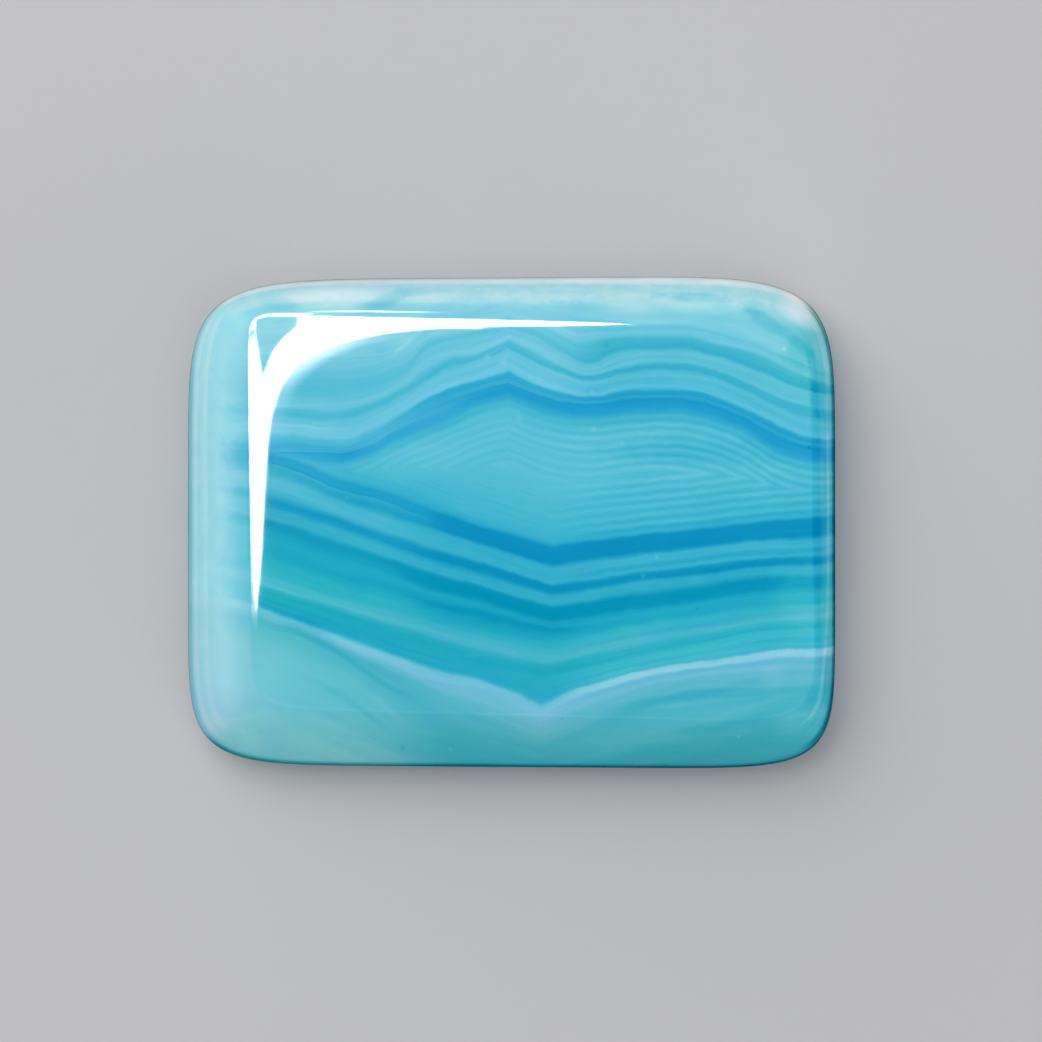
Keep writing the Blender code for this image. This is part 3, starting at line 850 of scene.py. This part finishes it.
def addSpecks(tree, tone, x, y):
    flat = combined(tree, x, y)
    for placeX, placeY, radius, change in specks:
        spot = tree.nodes.new("ShaderNodeVectorMath")
        spot.operation = "DISTANCE"
        spot.inputs[1].default_value = (placeX, placeY, 0)
        tree.links.new(flat, spot.inputs[0])
        tone = tone + rise(Term(spot.outputs["Value"]), radius * 1.6, radius * 0.3, change)
    return tone


def dyeRamp(tree, tone):
    ramp = tree.nodes.new("ShaderNodeValToRGB")
    stops = ramp.color_ramp.elements
    while len(stops) < len(dyeColours):
        stops.new(0.5)
    for stop, (level, colour) in zip(stops, dyeColours):
        stop.position = level / 255
        stop.color = linear(*colour)
    feed(tree, tone / 255, ramp.inputs[0])
    return splitColour(tree, ramp.outputs[0])


# High polish with faint wear on the face and edge, lapped satin with grinding marks on the back
def addPolish(tree, surface, point, z):
    onBackFace = rise(z, 0.30, 0.04)
    grind = noiseNode(tree, point, 9.0, 4.0, 0.7).outputs["Fac"]
    streaks = tree.nodes.new("ShaderNodeVectorMath")
    streaks.operation = "MULTIPLY"
    streaks.inputs[1].default_value = (14.0, 0.9, 1.0)
    tree.links.new(point, streaks.inputs[0])
    scratches = noiseNode(tree, streaks.outputs[0], 1.0, 3.0, 0.7).outputs["Fac"]
    wear = Term(noiseNode(tree, point, 2.4, 4.0, 0.65).outputs["Fac"])
    polish = 0.035 + largest(wear - 0.55, 0.0) * 0.12
    lapped = 0.30 + centred(grind) * 0.2 + centred(scratches) * 0.15
    feed(tree, blend(polish, lapped, onBackFace), surface.inputs["Roughness"])
    surface.inputs["IOR"].default_value = 1.54
    ripple = Term(noiseNode(tree, point, 0.5, 1.0, 0.4).outputs["Fac"])
    cut = (Term(scratches) + Term(grind)) * 4
    bump = tree.nodes.new("ShaderNodeBump")
    bump.inputs["Strength"].default_value = 1.0
    bump.inputs["Distance"].default_value = 0.001 * mm
    feed(tree, ripple * 0.28 + wear * 0.03 + cut * onBackFace, bump.inputs["Height"])
    tree.links.new(bump.outputs["Normal"], surface.inputs["Normal"])


def buildStoneMaterial():
    material = bpy.data.materials.new("bandedBlueAgate")
    material.use_nodes = True
    tree = material.node_tree
    surface = tree.nodes["Principled BSDF"]
    coordinates = tree.nodes.new("ShaderNodeTexCoord")
    inMillimetres = tree.nodes.new("ShaderNodeVectorMath")
    inMillimetres.operation = "SCALE"
    inMillimetres.inputs["Scale"].default_value = 1 / mm
    tree.links.new(coordinates.outputs["Object"], inMillimetres.inputs[0])
    point = inMillimetres.outputs[0]
    x, y, z = separated(tree, point)
    kept = tree.nodes.new("ShaderNodeAttribute")
    kept.attribute_name = "square"
    u, v, w = separated(tree, kept.outputs["Vector"])

    # Bands: each layer's number, and how pale it is
    layerX, layerY, tremble = layerPlace(tree, point, x, y, z)
    halfX, halfY = lineFrame["halfX"], lineFrame["halfY"]
    lines = {}
    for name, points in bandLines.items():
        lines[name] = curveNode(tree, layerX, points, -halfX, halfX, -halfY, halfY, sharpTurns)
    layer = layerNumber(lines, layerY)
    tone = bandTone(tree, layer, layerX)

    # The eye between the lids. The dye is weaker at its left end.
    fromUpper = lines["upperLid"] - layerY
    fromLower = layerY - lines["lowerLid"]
    inEye = above(fromUpper, 0.0) * above(fromLower, 0.0)
    eyeTone, nearest = eyeParts(tree, fromUpper, fromLower, x)
    tone = blend(tone, eyeTone, inEye)
    byTheEye = rise(layer, 9.6, 8.6) * rise(layer, 6.6, 7.0)
    tone = tone + rise(layerX, -5.8, -8.6, eyeSet["leftPale"]) * byTheEye
    tone = addFineLayers(tree, tone, layer, layerX, z, nearest, inEye)
    tone = addStrokes(tree, tone, x, y, layerX, layerY)

    # Dye is weak in the front left corner. The left and back rims are paler, partly from weak dye and partly
    # from painted light: a painted reflection and brighter light on the sides that face the lamps.
    drift = noiseTerm(tree, point, 0.35, 3.0, 0.55) * 2
    milk = noiseTerm(tree, point, 1.6, 3.0, 0.6) * 2
    footPale = rise(layerX + drift, -4.5, -8.5) * rise(layer, 16.6, 17.6)
    tone = blend(tone, tone * 0.3 + cloudy["paleFoot"], footPale)
    ring = largest(size(u), size(v), 1e-6)
    rims = {name: curveNode(tree, ring, points, 0.6, 1.0, -60, 220) for name, points in rimTonesWithPaintedLight.items()}
    onLeft, onBack, onRight, onFront = rimMasks(u, v, ring)
    blotches = milk * cloudy["blotches"] * rise(ring, 0.7, 0.8)
    footShare = rise(layer, 15.8, 17.2)
    leftShare = rise(ring, 0.65, 0.695) * (0.68 - footShare * 0.2)
    leftShare = onLeft * (leftShare + rise(ring, 0.72, 0.8) * (0.26 + footShare * 0.1))
    tone = blend(tone, rims["left"] + blotches * 0.4, leftShare)
    backShare = rise(ring, 0.66, 0.71, 0.5) + rise(ring, 0.72, 0.79, 0.38) + rise(ring, 0.86, 0.92, 0.08)
    backShare = onBack * backShare
    tone = blend(tone, rims["back"] + blotches, backShare)
    # Painted reflection and painted dark shade of the right and front rims
    tone = tone + rims["right"] * onRight + rims["front"] * onFront
    # Below the girdle the back rim keeps less of its painted light
    tone = tone - onBack * rise(w, 0.9, 0.2, 34)
    tone = addPatches(tone, x, y, milk) + drift * cloudy["drift"] + milk * cloudy["milk"]
    tone = addSpecks(tree, tone, x, y)
    red, green, blue = dyeRamp(tree, tone)

    # Towards the foot and the left the dye turns to turquoise. The front rim turns greener, in part as
    # painted shade, and the outer edge of the right and front rims is darkened as painted shade.
    first, last = layerFrame["first"], layerFrame["last"]
    greenLeft = curveNode(tree, layer, layerTints["green"], first, last, 0.5, 1.5)
    blueLeft = curveNode(tree, layer, layerTints["blue"], first, last, 0.5, 1.5)
    offPaleRimShare = 1 - largest(leftShare, backShare)
    openEye = inEye * rise(nearest, 0.15, 0.7)
    greenLeft = blend(0.975 - footShare * 0.05, blend(greenLeft, 1.005, openEye), offPaleRimShare)
    blueLeft = blend(0.95 - footShare * 0.04, blend(blueLeft, 0.985, openEye), offPaleRimShare)
    leftTeal = rise(layerX, -3.0, -9.0) * rise(layer, 11.0, 14.0) * offPaleRimShare
    cornerTeal = rise(x, 8.6, 11.0) * rise(y, 3.6, 5.6) * rise(tone, 150, 110, 0.55)
    # On the front rim the teal shift stands partly for painted shade
    cornerTeal = cornerTeal + onFront * rise(ring, 0.68, 0.80, 0.3)
    footRight = rise(layerX, 1.0, 8.0) * rise(layer, 17.2, 18.6)
    footLeft = rise(layerX, -6.5, -9.5) * rise(layer, 17.2, 18.4)
    greenLeft = greenLeft + leftTeal * 0.06 + cornerTeal * 0.06 - footRight * 0.05 - footLeft * 0.02
    blueLeft = blueLeft - leftTeal * 0.01 - cornerTeal * 0.09 - footRight * 0.06 + footLeft * 0.06
    milky = rise(tone, 165, 215)  # the palest tones, undyed stone and the painted light of the left and back rims, have hardly any tint
    greenLeft = blend(greenLeft, 1.0, milky) - tremble * 0.08
    blueLeft = blend(blueLeft, 1.0, milky) + tremble * 0.08
    # Painted shade: the outer edge of the right and front rims is darkened
    shade = onRight * rise(ring, 0.875, 0.905) + onFront * rise(ring, 0.925, 0.955)
    shade = shade * rise(w, 0.2, 0.9)
    dyed = tree.nodes.new("ShaderNodeCombineColor")
    feed(tree, red * (1 - shade * 0.5), dyed.inputs[0])
    feed(tree, green * greenLeft * (1 - shade * 0.35), dyed.inputs[1])
    feed(tree, blue * blueLeft * (1 - shade * 0.4), dyed.inputs[2])
    tree.links.new(dyed.outputs[0], surface.inputs["Base Color"])
    addPolish(tree, surface, point, z)
    return material


def main():
    addCamera()
    addLamps()
    addRoom()
    addFloor()
    print("camera, lamps and floor in place")
    material = buildStoneMaterial()
    print("stone material ready")
    stone = buildStone(material)
    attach(stone, "root")
    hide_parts("agate_cabochon")


main()
